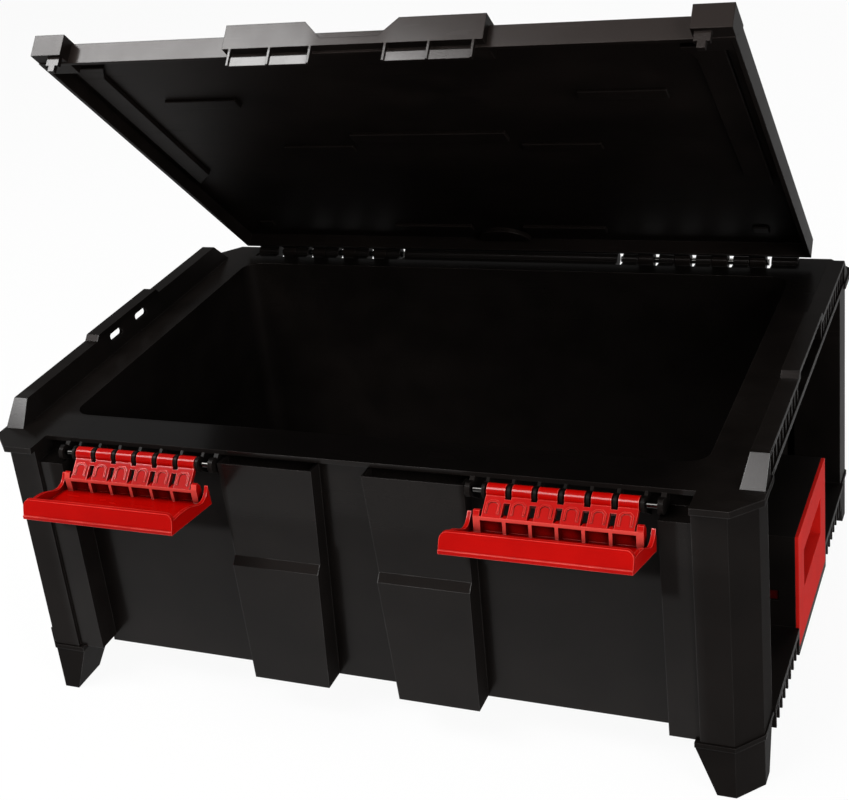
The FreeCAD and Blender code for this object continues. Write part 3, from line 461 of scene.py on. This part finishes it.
for node_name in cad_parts:
    if node_name.startswith(("latch_pin", "hinge_pin")):
        dress(node_name, steel)
    elif node_name.startswith("latch"):
        dress(node_name, latch_red)
    elif node_name.startswith("handle"):
        dress(node_name, handle_red)
    elif node_name.startswith("foot"):
        dress(node_name, foot_black)
    elif node_name == "lid":
        dress(node_name, lid_black)
    else:
        dress(node_name, case_black)


def show(name, data):
    """Put an object into the scene."""
    thing = bpy.data.objects.new(name, data)
    bpy.context.scene.collection.objects.link(thing)
    return thing


def finish_piece(name, sheets, material, body):
    """One piece from several sheets, riding on its body."""
    mesh = bpy.data.meshes.new(name)
    whole = bmesh.new()
    for sheet in sheets:
        part = bpy.data.meshes.new(name + "_part")
        sheet.to_mesh(part)
        sheet.free()
        whole.from_mesh(part)
        bpy.data.meshes.remove(part)
    whole.to_mesh(mesh)
    whole.free()
    mesh.materials.append(material)
    piece = show(name, mesh)
    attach(piece, body)


# Relief of the lid's underside
def on_lid(across, along, over):
    """Where a point of the closed lid lies while the lid stands open."""
    away = -along * math.cos(LID_OPEN) + over * math.sin(LID_OPEN)
    rise = along * math.sin(LID_OPEN) + over * math.cos(LID_OPEN)
    return Vector((across, HINGE_Y + away, HINGE_Z + rise))


def raised_plate(outline, drop, bevel):
    """Bevelled plate hanging under the lid's panel, from an outline of (across, along) points."""
    sheet = bmesh.new()
    lower = [sheet.verts.new((x, y, -drop)) for x, y in outline]
    upper = [sheet.verts.new((x, y, PLATE_ROOT)) for x, y in outline]
    sheet.faces.new(lower)
    sheet.faces.new(list(reversed(upper)))
    for index in range(len(outline)):
        after = (index + 1) % len(outline)
        sheet.faces.new((lower[index], upper[index], upper[after], lower[after]))
    edges = [edge for edge in sheet.edges if any(vert in lower for vert in edge.verts)]
    bmesh.ops.bevel(sheet, geom=edges, offset=bevel, segments=2, profile=0.5, affect="EDGES")
    for vert in sheet.verts:
        vert.co = on_lid(vert.co.x, vert.co.y, LID_PANEL_UNDER + vert.co.z)
    bmesh.ops.recalc_face_normals(sheet, faces=sheet.faces)
    return sheet


def bar(inner, outer, near, far):
    return [(inner, near), (outer, near), (outer, far), (inner, far)]


def both_sides(outline):
    return [outline, [(-x, y) for x, y in reversed(outline)]]


def half_round():
    """Outline of the thumb plate by the hinge."""
    turns = [math.pi * k / THUMB_STEPS for k in range(THUMB_STEPS + 1)]
    across, along = THUMB_SIZE
    return [(across * math.cos(turn), THUMB_START + along * math.sin(turn)) for turn in turns]


SIDE_BAND = [(0.214, 0.150), (0.232, 0.130), (0.232, 0.340), (0.205, 0.340), (0.214, 0.325)]

# Outlines of the plates, how far they hang down and how wide their bevels are
RELIEF = (
    (both_sides(bar(0.127, 0.186, 0.270, 0.282)), 0.0022, 0.0006),
    (both_sides(bar(0.022, 0.090, 0.033, 0.042)), 0.0026, 0.0006),
    (both_sides(bar(0.066, 0.124, 0.190, 0.200)), 0.0018, 0.0006),
    ([bar(-0.060, 0.060, 0.208, 0.222)], 0.0030, 0.0008),
    (both_sides(bar(0.204, 0.216, 0.037, 0.046)), 0.0020, 0.0005),
    ([half_round()], 0.0040, 0.0008),
    (both_sides(SIDE_BAND), 0.0030, 0.0008),
)
relief = [raised_plate(outline, drop, bevel) for outlines, drop, bevel in RELIEF for outline in outlines]
finish_piece("lid_relief", relief, lid_black, "lid")


# Rims in the slots of the side rails
def obround(length, height):
    """Round-ended outline of (along, up) points."""
    radius, reach = height / 2, length / 2 - height / 2
    turns = [math.pi * k / SLOT_STEPS - math.pi / 2 for k in range(SLOT_STEPS + 1)]
    ahead = [(reach + radius * math.cos(turn), radius * math.sin(turn)) for turn in turns]
    return ahead + [(-y, -z) for y, z in ahead]


def slot_rim(side, middle):
    """Rim that narrows a slot of a side rail, set into the rail's sloping wall."""
    sheet = bmesh.new()
    rings = []
    for outline, skin in ((SLOT_OUTER, 0.0), (SLOT_OUTER, 1.0), (SLOT_INNER, 1.0), (SLOT_INNER, 0.0)):
        ring = []
        for y, z in obround(*outline):
            x = RAIL_INNER + RAIL_LEAN * (SLOT_RAISE + z) + SLOT_SKIN + skin * (RAIL_WALL - 2 * SLOT_SKIN)
            ring.append(sheet.verts.new((side * x, middle + y, RIM_TOP + SLOT_RAISE + z)))
        rings.append(ring)
    count = len(rings[0])
    for near, far in zip(rings, rings[1:] + rings[:1]):
        for index in range(count):
            after = (index + 1) % count
            sheet.faces.new((near[index], near[after], far[after], far[index]))
    bmesh.ops.recalc_face_normals(sheet, faces=sheet.faces)
    return sheet


rims = [slot_rim(side, ORIGIN_SHIFT - SLOT_FORWARD + place)
        for side in (-1, 1) for place in (-SLOT_SPACING / 2, SLOT_SPACING / 2)]
finish_piece("rail_slot_rims", rims, case_black, "case")


# Floor, light and camera
corners = [(x * FLOOR_REACH, y * FLOOR_REACH, 0.0) for x, y in ((-1, -1), (1, -1), (1, 1), (-1, 1))]
floor_mesh = bpy.data.meshes.new("floor")
floor_mesh.from_pydata(corners, [], [(0, 1, 2, 3)])
floor_mesh.materials.append(studio_floor("studio_floor"))
floor = show("floor", floor_mesh)


def soft_box(name, place, aim, width, height, power):
    """Rectangular lamp pointed at a spot."""
    lamp = bpy.data.lights.new(name, "AREA")
    lamp.shape = "RECTANGLE"
    lamp.size = width
    lamp.size_y = height
    lamp.energy = power
    holder = show(name, lamp)
    holder.location = place
    holder.rotation_euler = (Vector(aim) - Vector(place)).to_track_quat("-Z", "Y").to_euler()


soft_box("key_light", (-0.75, -1.05, 1.95), (0.0, -0.04, 0.42), width=1.7, height=0.80, power=58.0)
soft_box("right_light", (1.6, -1.3, 1.0), (0.2, 0.0, 0.15), width=0.7, height=0.9, power=24.0)
soft_box("rear_light", (0.2, 1.2, 2.6), (0.0, 0.1, 0.25), width=1.4, height=0.6, power=22.0)

world = bpy.data.worlds.new("studio")
bpy.context.scene.world = world
world.use_nodes = True
sky = world.node_tree
sky.nodes.clear()
dim = Wire(sky, None).node("ShaderNodeBackground", None, {"Color": WHITE, "Strength": WORLD_STRENGTH})
dim.node("ShaderNodeOutputWorld", None, {"Surface": dim})

camera_data = bpy.data.cameras.new("photo_camera")
camera_data.sensor_fit = "HORIZONTAL"
camera_data.sensor_width = SENSOR_WIDTH
camera_data.lens = FOCAL_PIXELS / IMAGE_WIDTH * SENSOR_WIDTH
camera_data.shift_x = (IMAGE_WIDTH / 2 - PRINCIPAL[0]) / IMAGE_WIDTH
camera_data.shift_y = (PRINCIPAL[1] - IMAGE_HEIGHT / 2) / IMAGE_WIDTH
camera_data.clip_start = CLIP_START
camera = show("photo_camera", camera_data)
camera_up = [-value for value in CAMERA_DOWN]
camera_back = [-value for value in CAMERA_FORWARD]
turn = Matrix((CAMERA_RIGHT, camera_up, camera_back)).transposed()
camera.matrix_world = Matrix.Translation(CAMERA_PLACE) @ turn.to_4x4()
bpy.context.scene.camera = camera
bpy.context.scene.view_settings.view_transform = "Standard"
